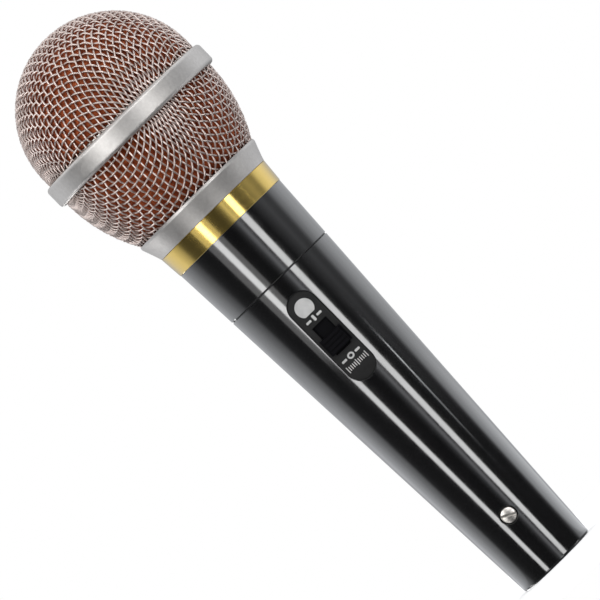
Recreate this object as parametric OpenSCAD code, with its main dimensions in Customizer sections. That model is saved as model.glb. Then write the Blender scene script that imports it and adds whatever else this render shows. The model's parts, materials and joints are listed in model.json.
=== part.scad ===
// Handheld dynamic vocal microphone: a tapered two-piece handle with a slide switch, a screw-on
// ball grille with a foam liner, and a moving-coil capsule on a rubber shock mount.
// Millimetres. +Z runs along the axis from the connector end to the grille. The switch faces -Y.

/* [Handle] */
// Radius of the handle's cone at the connector end
handle_end_r = 10.95; // [10.9:0.05:11.2]
// Radius of the handle's cone where it meets the trim ring
handle_top_r = 17.22; // [17.1:0.02:17.3]
// Length of the black handle, from the connector end to the trim ring
handle_len = 116.8; // [114:0.2:120]
// Length of the lower shell, up to the seam
barrel_len = 99.3; // [98.8:0.1:99.4]
// Width of the groove at the seam
seam_gap = 0.25; // [0.1:0.05:0.5]
// Depth of the groove at the seam
seam_depth = 0.3; // [0.2:0.05:0.5]
// Wall of the lower shell
handle_wall = 2.2; // [2:0.1:2.4]
// Rounding of the edge at the connector end
end_round = 0.75; // [0.4:0.05:0.8]

/* [Trim ring and neck] */
// Height of the trim ring
trim_h = 6.2; // [5.6:0.1:7]
// Radius of the trim ring at its lower edge
trim_low_r = 17.35; // [17.3:0.05:17.5]
// Radius of the trim ring at its upper edge
trim_high_r = 17.85; // [17.6:0.05:18]
// Radius of the neck where the head screws on, as a plain cylinder
thread_r = 16; // [15.8:0.1:16.1]
// Radius of the neck's bore
neck_bore_r = 14; // [13.9:0.05:14.1]

/* [Switch] */
// Width of the switch plate
plate_w = 8; // [7.6:0.1:8.4]
// Length of the switch plate
plate_l = 28; // [26:0.5:29]
// Thickness of the switch plate
plate_t = 1; // [0.8:0.1:1.1]
// Height of the plate's centre above the connector end
plate_z = 80; // [76:0.5:80]
// Width of the slot that the button slides in
slot_w = 4.7; // [4.5:0.1:5.2]
// Length of the slot
slot_l = 9; // [8.8:0.1:9.6]
// Width of the button
knob_w = 6.9; // [6:0.1:7.2]
// Length of the button
knob_l = 4.9; // [4:0.1:5]
// Height of the button above the plate
knob_h = 1.8; // [1.2:0.1:2.2]
// How far the button slides from off to on
switch_travel = 3.4; // [3:0.1:3.5]

/* [Connector] */
// Radius of the socket that takes the cable's plug
socket_r = 9.5; // [9.4:0.05:9.55]
// Depth of the socket, to the face of the insert
socket_depth = 15; // [14:0.5:16]
// Radius of a contact pin
pin_r = 1.2; // [1.15:0.05:1.25]
// Radius of the circle that the three contact pins stand on
pin_circle_r = 4.06; // [4:0.02:4.1]
// Height of the insert's lock screw above the connector end
lock_screw_z = 17.3; // [17:0.1:20]
// Radius of the lock screw's head
lock_screw_r = 2.1; // [1.6:0.1:2.2]

/* [Capsule] */
// Outer radius of the capsule
capsule_r = 13.8; // [13.6:0.05:13.8]
// Height of the capsule above its stem
capsule_h = 16.5; // [16.5:0.1:17.5]
// Inner radius of the voice coil
coil_in_r = 6.95; // [6.9:0.05:7]
// Outer radius of the voice coil
coil_out_r = 7.6; // [7.4:0.05:7.6]
// Gap on each side of the voice coil
coil_gap = 0.35; // [0.3:0.01:0.36]

/* [Head] */
// Radius of the ball grille
ball_r = 25.05; // [25:0.05:25.2]
// Outer radius of the band round the ball
band_r = 26.5; // [26.2:0.1:27]
// Height of the band
band_h = 5.9; // [5:0.1:6.4]
// Height of the collar that screws onto the neck
collar_h = 5.85; // [5.7:0.05:6]
// Radius of the collar's upper edge
collar_top_r = 19.65; // [19.5:0.05:19.8]
// Radius of the curve of the lower grille's side
belly_arc_r = 41.8; // [41:0.2:43]
// Thickness of the woven grilles
mesh_t = 1; // [0.8:0.1:1]
// Thickness of the upper foam liner
foam_t = 3; // [2:0.2:3.4]

/* [Hidden] */
$fn = 96;
// Clearance of a thread or a running fit, and of pieces that pass each other
fit = 0.05;
pass = 0.2;
far = 60;

// The handle's cone
cone_slope = (handle_top_r - handle_end_r) / handle_len;
cone_angle = atan(cone_slope);
sleeve_z = barrel_len + seam_gap;
spigot_z = barrel_len - 4.4;
spigot_r = 14.6;
spigot_bore_r = 13;
edge_break = 0.1;
seam_break = 0.2;

// The connector end
mouth_r = 9.75;
mouth_h = 2.4;
insert_r = 9.4;
insert_h = 11;
insert_top = socket_depth + insert_h;
stop_r = 8.6;
stop_z = insert_top + pass;
taper_z = stop_z + 2;
pin_tip_z = 2.6;
pin_root_r = 1.4;
cup_r = 1.5;
cup_wall = 0.7;
cup_h = 4;
cup_floor = 1.5;
screw_clear = 0.2;
screw_sink = 0.35;
screw_shank_r = 1.2;
screw_shank_l = 3;
screw_slot = 0.6;
latch_w = 4.4;
latch_h = 2.6;
latch_z = 8;
latch_d = 0.8;
key_w = 1.6;
key_d = 0.7;

// The neck and the capsule's mount
neck_z = handle_len - 12.8;
neck_r = 14.9;
neck_top = handle_len + 11.5;
mount_z = handle_len + 1.2;
mount_wall = 1.25;
mount_web = 1.8;
stem_r = 9;
stem_wall = 1;
stem_z = handle_len + 3.2;
base_t = 1.5;
tab_x = 3;
tab_w = 2.2;
tab_t = 0.6;
tab_l = 7;
tab_top = stem_z + base_t + 2;

// The capsule
capsule_z = neck_top + 1.7;
capsule_wall = 1;
floor_t = 1.2;
yoke_z = capsule_z + 4;
yoke_floor = 1.5;
yoke_r = 9.5;
yoke_top = yoke_z + 7.2;
gap_in_r = coil_in_r - coil_gap;
gap_out_r = coil_out_r + coil_gap;
pole_t = 1.7;
frame_r = capsule_r - capsule_wall - fit;
vent_r = 0.8;
clamp_in_r = 11.6;
clamp_h = 2;
cone_z = yoke_top + 0.55;
film_t = 0.2;
film_r = clamp_in_r - 0.3;
dome_h = 1.8;
dome_edge_r = 7.3;
dome_r = (pow(dome_edge_r, 2) + pow(dome_h, 2)) / (2 * dome_h);
coil_h = 3.1;
capsule_top = capsule_z + capsule_h;
cover_wall_h = 3;
cover_t = 1.3;
felt_t = 0.7;

// The switch, measured from the middle of the plate's face
plate_flat = sqrt(pow(cone_r(plate_z), 2) - pow(plate_w / 2, 2));
plate_gap = 0.1;
knob_y = -1.55;
knob_skirt = 0.7;
knob_step = 0.6;
rib_pitch = 1.2;
rib_gap = 0.4;
rib_depth = 0.35;
stem_x = slot_w - 0.4;
stem_y = 3;
box_w = 6.6;
box_l = 17.6;
box_d = 5.35;
box_wall = 0.6;
slider_w = 4.6;
slider_l = 5;
slider_t = 3.3;
slider_z = -plate_t - 0.1;
shutter_w = box_w - 2 * box_wall - pass;
shutter_l = box_l - 2 * box_wall - switch_travel - pass;
shutter_t = 0.4;
clip_w = 1;
clip_t = 0.4;
post_w = 1.2;
post_t = 0.5;
post_l = 3.6;
post_x = 1.5;
post_pitch = 4;
post_top = -plate_t - box_d + box_wall + 0.15;

// The head
trim_z = handle_len + fit;
trim_top = handle_len + trim_h;
collar_z = trim_top + fit;
collar_top = collar_z + collar_h;
belly_z = collar_top + 21.1;
band_z = belly_z - 0.3;
band_top = band_z + band_h;
ball_z = belly_z + 8;
mesh_split = belly_z + 2.6;
mesh_foot = collar_top - 1.4;
edge_r = 1;
lip_share = 0.87;
inner_ring_t = 0.75;
foam_gap = 0.1;
foam_step_z = band_top + 0.7;
gasket_z = trim_top + fit;
gasket_t = 0.3;
gasket_w = 0.8;

// The leads, and their solder points at the pins' cups, the switch's posts and the capsule's tabs
lead_r = 0.55;
LEAD_SIDES = 8;
LEAD_STEPS = 4;
solder = 0.7;
pin_end_z = insert_top + cup_h + solder;
post_end_y = -plate_flat - post_top + post_l + 2 * lead_r;
tab_end_z = tab_top - tab_l - solder;

// Radius of the handle's cone at height z
function cone_r(z) = handle_end_r + cone_slope * z;

// A ring turned from a rectangle, from radius r0 to r1 and from height z0 to z1
module ring(r0, r1, z0, z1) {
    rotate_extrude() translate([r0, z0]) square([r1 - r0, z1 - z0]);
}

// A disc of radius r from height z0 to z1
module disc(r, z0, z1) {
    translate([0, 0, z0]) cylinder(r = r, h = z1 - z0);
}

// An upright box centred on [x, y] from height z0 to z1
module block(x, y, w, l, z0, z1) {
    translate([x - w / 2, y - l / 2, z0]) cube([w, l, z1 - z0]);
}

// A slot with round ends, w wide and l long along Y
module obround(w, l) {
    for (side = [-1, 1]) translate([0, side * (l - w) / 2]) circle(d = w);
    square([w, l - w], center = true);
}

// The frame of the switch: X across, Y towards the head, Z out of the face of the plate
module on_switch_face() {
    translate([0, -plate_flat, plate_z]) rotate([90 + cone_angle, 0, 0]) children();
}

// Copies the children to the three contact pins
module at_pins() {
    for (place = [[pin_circle_r, 0], [-pin_circle_r, 0], [0, -pin_circle_r]]) {
        translate([place[0], place[1], 0]) children();
    }
}

// A copper wire with its sleeve: a tube that runs smoothly through the points
function spline(a, b, c, d, t) = 0.5 * (2 * b + (c - a) * t + (2 * a - 5 * b + 4 * c - d) * t * t
    + (3 * b - a - 3 * c + d) * t * t * t);
function smooth_path(p) = concat([for (i = [0:len(p) - 2], k = [0:LEAD_STEPS - 1])
    spline(p[max(i - 1, 0)], p[i], p[i + 1], p[min(i + 2, len(p) - 1)], k / LEAD_STEPS)],
    [p[len(p) - 1]]);
function unit(v) = v / norm(v);
function lead_ring(p, i) = let (last = len(p) - 1, t = unit(p[min(i + 1, last)] - p[max(i - 1, 0)]),
    u = unit(cross([0, 1, 0], t)), v = cross(t, u))
    [for (k = [0:LEAD_SIDES - 1]) let (a = 360 * k / LEAD_SIDES)
        p[i] + lead_r * (cos(a) * u + sin(a) * v)];
module lead(points) {
    path = smooth_path(points);
    rings = len(path);
    side = [for (i = [0:rings - 2], k = [0:LEAD_SIDES - 1]) let (n = (k + 1) % LEAD_SIDES)
        [i * LEAD_SIDES + k, (i + 1) * LEAD_SIDES + k, (i + 1) * LEAD_SIDES + n, i * LEAD_SIDES + n]];
    start = [[for (k = [0:LEAD_SIDES - 1]) k]];
    end = [[for (k = [LEAD_SIDES - 1:-1:0]) (rings - 1) * LEAD_SIDES + k]];
    polyhedron([for (i = [0:rings - 1]) each lead_ring(path, i)], concat(side, start, end));
}

// Outline of the lower shell's outside: a cone with a rounded lower edge and a broken upper edge
module barrel_outline() {
    slant = sqrt(1 + pow(cone_slope, 2));
    round_x = cone_r(end_round) - end_round * slant;
    tangent = [round_x + end_round / slant, end_round - end_round * cone_slope / slant];
    translate([round_x, end_round]) circle(r = end_round);
    polygon([[0, 0], [round_x, 0], [round_x, end_round], tangent,
        [cone_r(barrel_len - seam_break), barrel_len - seam_break],
        [cone_r(barrel_len) - seam_break, barrel_len], [0, barrel_len]]);
}

module handle_barrel() color([0.05, 0.05, 0.055]) difference() {
    rotate_extrude() barrel_outline();
    disc(mouth_r, -1, mouth_h);
    disc(socket_r, 0, stop_z);
    disc(stop_r, stop_z - 1, taper_z + 1);
    translate([0, 0, taper_z]) cylinder(r1 = cone_r(taper_z) - handle_wall,
        r2 = cone_r(spigot_z) - handle_wall, h = spigot_z - taper_z + 0.01);
    disc(spigot_r + fit, spigot_z, barrel_len + 1);
    on_switch_face() {
        translate([0, 0, -plate_t - 0.02]) linear_extrude(5) obround(plate_w + fit, plate_l + fit);
        block(0, 0, box_w + 2 * pass, box_l + 2 * pass, -5, 1);
    }
    translate([0, 0, lock_screw_z]) rotate([90, 0, 0]) cylinder(r = lock_screw_r + screw_clear, h = 15);
    block(0, socket_r, latch_w, 2 * latch_d, latch_z, latch_z + latch_h);
}

module front_sleeve() color([0.05, 0.05, 0.055]) rotate_extrude() difference() {
    union() {
        polygon([[spigot_bore_r, barrel_len], [cone_r(barrel_len) - seam_depth, barrel_len],
            [cone_r(barrel_len) - seam_depth, sleeve_z], [cone_r(sleeve_z) - edge_break, sleeve_z],
            [cone_r(sleeve_z + edge_break), sleeve_z + edge_break], [cone_r(handle_len), handle_len],
            [spigot_bore_r, handle_len]]);
        translate([spigot_bore_r, spigot_z]) square([spigot_r - spigot_bore_r, barrel_len - spigot_z + 1]);
    }
    translate([0, neck_z]) square([neck_r + fit, far]);
}

module neck() color([0.72, 0.72, 0.7]) rotate_extrude() {
    translate([neck_bore_r, neck_z]) square([neck_r - neck_bore_r, handle_len - neck_z]);
    translate([neck_bore_r, handle_len]) square([thread_r - neck_bore_r, neck_top - handle_len]);
}

module trim_ring() color([0.8, 0.66, 0.25]) rotate_extrude() polygon([[thread_r + fit, trim_z],
    [trim_low_r - edge_break, trim_z], [trim_low_r, trim_z + edge_break],
    [trim_high_r, trim_top - edge_break], [trim_high_r - edge_break, trim_top],
    [thread_r + fit, trim_top]]);

module switch_plate() color([0.2, 0.2, 0.2]) on_switch_face() translate([0, 0, -plate_t])
    linear_extrude(plate_t) difference() {
        obround(plate_w, plate_l);
        square([slot_w, slot_l], center = true);
    }

// The six contact posts of the switch
module switch_posts() {
    for (x = [-post_x, post_x], y = [-post_pitch, 0, post_pitch]) {
        block(x, y, post_t, post_w, post_top - post_l, post_top);
    }
}

module switch_housing() color([0.75, 0.75, 0.73]) on_switch_face() difference() {
    block(0, 0, box_w, box_l, -plate_t - box_d, -plate_t - fit);
    block(0, 0, box_w - 2 * box_wall, box_l - 2 * box_wall, -plate_t - box_d + box_wall, 0);
    switch_posts();
}

module switch_terminals() color([0.8, 0.7, 0.4]) on_switch_face() switch_posts();

module switch_knob() color([0.07, 0.06, 0.08]) on_switch_face() translate([0, knob_y, 0]) difference() {
    union() {
        block(0, 0, knob_w, knob_l, plate_gap, knob_skirt);
        block(0, 0, knob_w - 2 * knob_step, knob_l - knob_step, knob_skirt, knob_h);
        block(0, 0, stem_x, stem_y, slider_z, plate_gap);
    }
    for (y = [-rib_pitch, 0, rib_pitch]) block(0, y, knob_w, rib_gap, knob_h - rib_depth, knob_h + 1);
}

// The carriage under the button, with a shutter that closes the slot over the whole travel
module switch_slider() color([0.06, 0.06, 0.07]) on_switch_face() {
    block(0, knob_y, slider_w, slider_l, slider_z - slider_t, slider_z);
    block(0, -switch_travel / 2, shutter_w, shutter_l, slider_z - shutter_t, slider_z);
}

module switch_contact() color([0.8, 0.5, 0.3]) on_switch_face() translate([0, knob_y, 0])
    for (x = [-post_x, post_x]) {
        block(x, 0, clip_w, slider_l, slider_z - slider_t - clip_t, slider_z - slider_t);
    }

module xlr_insert() color([0.1, 0.1, 0.1]) difference() {
    disc(insert_r, socket_depth, insert_top);
    at_pins() disc(pin_root_r, socket_depth - 1, insert_top + 1);
    translate([0, -insert_r - 1, lock_screw_z]) rotate([-90, 0, 0])
        cylinder(r = screw_shank_r, h = screw_shank_l + 1);
    block(0, insert_r, key_w, 2 * key_d, socket_depth - 1, insert_top + 1);
}

module xlr_pins() color([0.83, 0.82, 0.78]) at_pins() {
    translate([0, 0, pin_tip_z + pin_r]) sphere(r = pin_r);
    disc(pin_r, pin_tip_z + pin_r, socket_depth);
    disc(pin_root_r, socket_depth, insert_top);
    ring(cup_r - cup_wall, cup_r, insert_top, insert_top + cup_h);
    disc(pin_r, insert_top, insert_top + cup_floor);
}

module insert_lock_screw() color([0.8, 0.8, 0.8]) translate([0, 0, lock_screw_z]) rotate([90, 0, 0])
    difference() {
        union() {
            disc(lock_screw_r, insert_r + fit, cone_r(lock_screw_z) - screw_sink);
            disc(screw_shank_r, insert_r - screw_shank_l, insert_r + fit + 0.1);
        }
        block(0, 0, 2 * lock_screw_r + 1, screw_slot, cone_r(lock_screw_z) - screw_sink - screw_slot, far);
    }

module output_leads() color([0.7, 0.1, 0.1]) {
    for (side = [-1, 1]) lead([[side * pin_circle_r, 0, pin_end_z], [side * 4.6, 1, 42],
        [side * 3.4, 0, 58], [side * 2, -2, 68], [side * post_x, post_end_y, plate_z - 4.6]]);
    lead([[0, -pin_circle_r, pin_end_z], [0, -2, 42], [0, -1, 56], [0, -2, 68],
        [0, post_end_y, plate_z - 3]]);
}

module capsule_leads() color([0.12, 0.3, 0.7]) for (side = [-1, 1])
    lead([[side * post_x, post_end_y, plate_z + 4.8], [side * 3, -2.5, 92], [side * 4.4, 0, 102],
        [side * 3.4, 0, 109], [side * tab_x, 0, tab_end_z]]);

module shock_mount() color([0.13, 0.13, 0.13]) rotate_extrude() {
    outer = neck_bore_r - fit;
    inner = stem_r + fit;
    translate([inner, mount_z]) square([outer - inner, mount_web]);
    translate([inner, mount_z]) square([mount_wall, neck_top - mount_z - mount_web]);
    translate([outer - mount_wall, mount_z]) square([mount_wall, neck_top - mount_z - pass]);
}

// The two solder tabs under the capsule
module capsule_tabs() {
    for (side = [-1, 1]) {
        block(side * tab_x, 0, tab_t, tab_w, tab_top - tab_l, tab_top);
    }
}

module capsule_base() color([0.15, 0.15, 0.16]) difference() {
    disc(stem_r - stem_wall, stem_z, stem_z + base_t);
    capsule_tabs();
}

module capsule_terminals() color([0.8, 0.7, 0.4]) capsule_tabs();

module capsule_housing() color([0.78, 0.78, 0.76]) {
    ring(stem_r - stem_wall, stem_r, stem_z, capsule_z + floor_t);
    ring(stem_r - stem_wall, capsule_r, capsule_z, capsule_z + floor_t);
    ring(capsule_r - capsule_wall, capsule_r, capsule_z, capsule_top - cover_wall_h);
}

module yoke() color([0.6, 0.6, 0.62]) {
    disc(yoke_r, yoke_z, yoke_z + yoke_floor);
    ring(gap_out_r, yoke_r, yoke_z, yoke_top);
}

module magnet() color([0.35, 0.35, 0.37]) disc(gap_in_r - 0.3, yoke_z + yoke_floor, yoke_top - pole_t);

module pole_piece() color([0.66, 0.66, 0.68]) disc(gap_in_r, yoke_top - pole_t, yoke_top);

module motor_frame() color([0.85, 0.82, 0.72]) difference() {
    union() {
        ring(yoke_r + fit, frame_r, capsule_z + floor_t, yoke_top);
        ring(yoke_r - 1.3, frame_r, capsule_z + floor_t, yoke_z);
    }
    for (a = [0:45:315]) rotate(a) translate([(yoke_r + frame_r) / 2, 0, 0]) disc(vent_r, 0, capsule_top);
}

module diaphragm_ring() color([0.7, 0.6, 0.3]) ring(clamp_in_r, frame_r, yoke_top, yoke_top + clamp_h);

module diaphragm() color([0.85, 0.75, 0.5, 0.7]) rotate_extrude() {
    intersection() {
        difference() {
            translate([0, cone_z + dome_h - dome_r]) circle(r = dome_r);
            translate([0, cone_z + dome_h - dome_r]) circle(r = dome_r - film_t);
        }
        translate([0, cone_z]) square([dome_edge_r, dome_h + 1]);
    }
    translate([dome_edge_r - 0.3, cone_z]) square([film_r - dome_edge_r + 0.3, film_t]);
}

module voice_coil() color([0.72, 0.4, 0.2]) ring(coil_in_r, coil_out_r, cone_z - coil_h, cone_z);

module damping_felt() color([0.5, 0.5, 0.45])
    disc(capsule_r - capsule_wall - 1.4, capsule_top - cover_t - felt_t, capsule_top - cover_t);

module capsule_cover() color([0.75, 0.74, 0.7]) difference() {
    union() {
        ring(capsule_r - capsule_wall, capsule_r, capsule_top - cover_wall_h, capsule_top);
        disc(capsule_r, capsule_top - cover_t, capsule_top);
    }
    for (row = [[1, 0], [6, 4.6], [12, 9]], k = [0:row[0] - 1]) {
        rotate(360 * k / row[0]) translate([row[1], 0, 0])
            disc(1, capsule_top - cover_t - 0.1, capsule_top + 1);
    }
}

// Half outline of the dome, drawn in by inset from the ball's surface and reaching down to foot_z
module dome_half(inset, foot_z) {
    r = ball_r - inset;
    intersection() {
        translate([0, ball_z]) circle(r = r);
        translate([0, ball_z]) square([r + 1, r + 1]);
    }
    translate([0, foot_z]) square([r, ball_z - foot_z]);
}

// Half outline of the lower grille's side, drawn in by inset, between two heights
module belly_half(inset, z0, z1) {
    intersection() {
        translate([ball_r - belly_arc_r, belly_z]) circle(r = belly_arc_r - inset, $fn = 360);
        translate([0, z0]) square([far, belly_z - z0]);
    }
    translate([0, belly_z]) square([ball_r - inset, z1 - belly_z]);
}

module grille_mesh_upper() color([0.78, 0.74, 0.7]) rotate_extrude() difference() {
    dome_half(0, mesh_split + pass);
    dome_half(mesh_t, mesh_split);
}

module grille_mesh_lower() color([0.78, 0.74, 0.7]) rotate_extrude() difference() {
    belly_half(0, mesh_foot, mesh_split);
    belly_half(mesh_t, mesh_foot - 1, mesh_split + 1);
}

module grille_band() color([0.72, 0.71, 0.7]) rotate_extrude() difference() {
    union() {
        translate([0, band_z]) square([band_r - edge_r, band_h]);
        translate([0, band_z + edge_r]) square([band_r, band_h - 2 * edge_r]);
        for (z = [band_z + edge_r, band_top - edge_r]) translate([band_r - edge_r, z]) circle(r = edge_r);
    }
    translate([0, band_z - 1]) square([ball_r + fit, band_h + 2]);
}

module grille_inner_ring() color([0.6, 0.6, 0.6])
    ring(ball_r - mesh_t - fit - inner_ring_t, ball_r - mesh_t - fit, band_z, band_top + 0.4);

// Radius of the collar's flare at a share of its height, with an upright lip above lip_share
function flare_r(share) = trim_high_r + (collar_top_r - trim_high_r) * pow(min(1, share / lip_share), 1.1);

module grille_collar() color([0.74, 0.73, 0.72]) rotate_extrude() difference() {
    polygon(concat([[thread_r + 2 * fit, collar_z]],
        [for (k = [0:6]) [flare_r(lip_share * k / 6), collar_z + collar_h * lip_share * k / 6]],
        [[collar_top_r, collar_top - edge_break], [collar_top_r - edge_break, collar_top],
        [thread_r + 2 * fit, collar_top]]));
    translate([0, collar_z - 1]) square([thread_r + gasket_w + pass, 1 + gasket_t + fit]);
    difference() {
        belly_half(-fit, mesh_foot - fit, mesh_split);
        belly_half(mesh_t + fit, mesh_foot - 1, mesh_split);
    }
}

module foam_liner_upper() color([0.45, 0.2, 0.1]) rotate_extrude() {
    inset = mesh_t + foam_gap;
    difference() {
        union() {
            intersection() {
                dome_half(inset, foam_step_z);
                translate([0, foam_step_z]) square([far, far]);
            }
            translate([0, mesh_split + pass])
                square([ball_r - inset - inner_ring_t - fit, foam_step_z - mesh_split]);
        }
        dome_half(inset + foam_t, mesh_split);
    }
}

module foam_liner_lower() color([0.45, 0.2, 0.1]) rotate_extrude() {
    outer = mesh_t + inner_ring_t + 3 * fit;
    difference() {
        belly_half(outer, collar_top + 0.3, mesh_split);
        belly_half(outer + 2.6, collar_top - 1, mesh_split + 1);
    }
}

module head_gasket() color([0.1, 0.1, 0.1])
    ring(thread_r + 2 * fit, thread_r + gasket_w, gasket_z, gasket_z + gasket_t);

handle_barrel();
front_sleeve();
neck();
trim_ring();
switch_plate();
switch_housing();
switch_terminals();
switch_knob();
switch_slider();
switch_contact();
xlr_insert();
xlr_pins();
insert_lock_screw();
output_leads();
capsule_leads();
shock_mount();
capsule_base();
capsule_terminals();
capsule_housing();
yoke();
magnet();
pole_piece();
motor_frame();
diaphragm_ring();
diaphragm();
voice_coil();
damping_felt();
capsule_cover();
grille_mesh_upper();
grille_mesh_lower();
grille_band();
grille_inner_ring();
grille_collar();
foam_liner_upper();
foam_liner_lower();
head_gasket();
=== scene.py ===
"""Looks of a handheld dynamic microphone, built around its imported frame.

Lengths are metres in the frame's axes: +Z runs up the microphone and the switch faces -Y.
"""
import json
import math

import bmesh
import bpy
import numpy as np
from mathutils import Matrix, Vector, noise


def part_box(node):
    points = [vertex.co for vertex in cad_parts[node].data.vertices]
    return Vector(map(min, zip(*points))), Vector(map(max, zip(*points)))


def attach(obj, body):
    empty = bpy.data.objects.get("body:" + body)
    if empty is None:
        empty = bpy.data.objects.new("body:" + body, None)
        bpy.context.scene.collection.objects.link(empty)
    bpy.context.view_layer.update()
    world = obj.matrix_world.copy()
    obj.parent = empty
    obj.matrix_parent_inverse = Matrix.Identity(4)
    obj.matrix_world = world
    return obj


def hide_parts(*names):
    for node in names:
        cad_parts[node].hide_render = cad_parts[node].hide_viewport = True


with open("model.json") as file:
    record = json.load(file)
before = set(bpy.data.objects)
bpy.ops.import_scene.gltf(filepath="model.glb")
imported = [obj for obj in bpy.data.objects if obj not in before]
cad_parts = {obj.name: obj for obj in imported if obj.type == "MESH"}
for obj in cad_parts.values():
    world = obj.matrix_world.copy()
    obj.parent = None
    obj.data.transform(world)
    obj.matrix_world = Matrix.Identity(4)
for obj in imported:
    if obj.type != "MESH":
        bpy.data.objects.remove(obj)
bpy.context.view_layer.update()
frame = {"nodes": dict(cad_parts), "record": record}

MM = 0.001
ENOUGH = 1e-12


# ---------------------------------------------------------------- sizes, from the frame

dome_low, dome_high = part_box("grille_mesh_upper")
belly_low, belly_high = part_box("grille_mesh_lower")
band_low, band_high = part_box("grille_band")
collar_low, collar_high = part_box("grille_collar")
neck_low, neck_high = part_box("neck")

sleeve_low, sleeve_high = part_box("front_sleeve")
plate_low, plate_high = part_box("switch_plate")
slot_axis = next(Vector(joint["axis"]) for joint in frame["record"]["behaviour"]["joints"]
                 if joint["name"] == "switch_slide")
plate_up = slot_axis.normalized()
plate_out = Vector((0, -plate_up.z, plate_up.y))

BALL_R = dome_high.x
CONE_SLOPE = -slot_axis.y / slot_axis.z
DOME_Z = dome_high.z - BALL_R
BELLY_Z = band_low.z + 0.3 * MM
BELLY_ARC_R = 41.8 * MM
SPLIT_Z = dome_low.z


def cone_r(z):
    """Radius of the handle's cone at height z."""
    return sleeve_high.x - CONE_SLOPE * (sleeve_high.z - z)


def cone_normal(x, y):
    """Outward normal of the handle's cone in the direction of x, y."""
    return Vector((x, y, -CONE_SLOPE * math.hypot(x, y))).normalized()


# ---------------------------------------------------------------- small helpers

def new_mesh(name, verts, faces, body, slot, replaces=(), crease=35):
    """A smooth mesh piece, with edges sharper than crease degrees kept, that rides on a body."""
    mesh = bpy.data.meshes.new(name)
    mesh.from_pydata([tuple(v) for v in verts], [], faces)
    mesh.validate()
    mesh.update()
    mesh.polygons.foreach_set("use_smooth", [True] * len(mesh.polygons))
    if crease:
        mesh.set_sharp_from_angle(angle=math.radians(crease))
    return add_piece(name, mesh, body, slot, replaces)


def add_piece(name, mesh, body, slot, replaces):
    """Puts a mesh in the scene as a piece of the object."""
    piece = bpy.data.objects.new(name, mesh)
    bpy.context.scene.collection.objects.link(piece)
    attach(piece, body)
    if replaces:
        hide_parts(*replaces)
    piece.data.materials.append(MATERIALS[slot])
    return piece


def revolve(outline, columns):
    """Vertices and faces of a closed outline of radius and height, turned round the axis."""
    rows = len(outline)
    angle = 2 * math.pi * np.arange(columns) / columns
    r = np.array([p[0] for p in outline])
    z = np.array([p[1] for p in outline])
    heights = np.repeat(z[:, None], columns, 1)
    verts = np.stack([r[:, None] * np.cos(angle), r[:, None] * np.sin(angle), heights], -1)
    faces = []
    for i in range(rows):
        a, b = i * columns, (i + 1) % rows * columns
        faces += [(a + k, a + (k + 1) % columns, b + (k + 1) % columns, b + k) for k in range(columns)]
    return verts.reshape(-1, 3), faces


def steps(start, end, count):
    """Points from start towards end, without the end itself."""
    return [tuple(np.array(start) + (np.array(end) - np.array(start)) * k / count) for k in range(count)]


def unit_rows(a):
    """Each row scaled to length one."""
    return a / np.maximum(np.linalg.norm(a, axis=1, keepdims=True), ENOUGH)


# ---------------------------------------------------------------- materials

def material(name, color, metallic=0.0, rough=0.5, **sockets):
    """A Principled material. Extra sockets are given by name with underscores for spaces."""
    made = bpy.data.materials.new(name)
    made.use_nodes = True
    shader = made.node_tree.nodes["Principled BSDF"]
    shader.inputs["Base Color"].default_value = (*color, 1.0)
    shader.inputs["Metallic"].default_value = metallic
    shader.inputs["Roughness"].default_value = rough
    for socket, value in sockets.items():
        shader.inputs[socket.replace("_", " ")].default_value = value
    return made


def add_node(made, kind, **values):
    """A node with its properties and inputs set."""
    node = made.node_tree.nodes.new(kind)
    for key, value in values.items():
        if key in node.inputs:
            node.inputs[key].default_value = value
        else:
            setattr(node, key, value)
    return node


def link(made, source, target):
    made.node_tree.links.new(source, target)


def place(made, stretch=(1, 1, 1)):
    """Object coordinates, scaled along each axis."""
    where = add_node(made, "ShaderNodeTexCoord")
    scaled = add_node(made, "ShaderNodeMapping")
    scaled.inputs["Scale"].default_value = stretch
    link(made, where.outputs["Object"], scaled.inputs["Vector"])
    return scaled.outputs["Vector"]


def noise_field(made, scale, detail=3.0, stretch=(1, 1, 1), rough=0.5):
    """A noise texture in object space, scale in cells to the metre."""
    field = add_node(made, "ShaderNodeTexNoise", Scale=scale, Detail=detail, Roughness=rough)
    link(made, place(made, stretch), field.inputs["Vector"])
    return field.outputs["Fac"]


def spread(made, field, low, high):
    """Maps the middle of a 0 to 1 field to the range low to high."""
    node = add_node(made, "ShaderNodeMapRange")
    node.inputs["From Min"].default_value = 0.3
    node.inputs["From Max"].default_value = 0.7
    node.inputs["To Min"].default_value = low
    node.inputs["To Max"].default_value = high
    link(made, field, node.inputs["Value"])
    return node.outputs["Result"]


def vary_rough(made, field, low, high):
    link(made, spread(made, field, low, high), made.node_tree.nodes["Principled BSDF"].inputs["Roughness"])


def vary_color(made, field, dark, light):
    """Blends the base colour between two colours by a field."""
    ramp = add_node(made, "ShaderNodeValToRGB")
    ramp.color_ramp.elements[0].position = 0.32
    ramp.color_ramp.elements[0].color = (*dark, 1)
    ramp.color_ramp.elements[1].position = 0.68
    ramp.color_ramp.elements[1].color = (*light, 1)
    link(made, field, ramp.inputs["Fac"])
    link(made, ramp.outputs["Color"], made.node_tree.nodes["Principled BSDF"].inputs["Base Color"])


def bump(made, field, strength, depth):
    """Raises the surface by a field, depth in metres."""
    node = add_node(made, "ShaderNodeBump", Strength=strength, Distance=depth)
    shader = made.node_tree.nodes["Principled BSDF"]
    link(made, field, node.inputs["Height"])
    below = shader.inputs["Normal"]
    if below.is_linked:
        link(made, below.links[0].from_socket, node.inputs["Normal"])
    link(made, node.outputs["Normal"], below)


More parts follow.
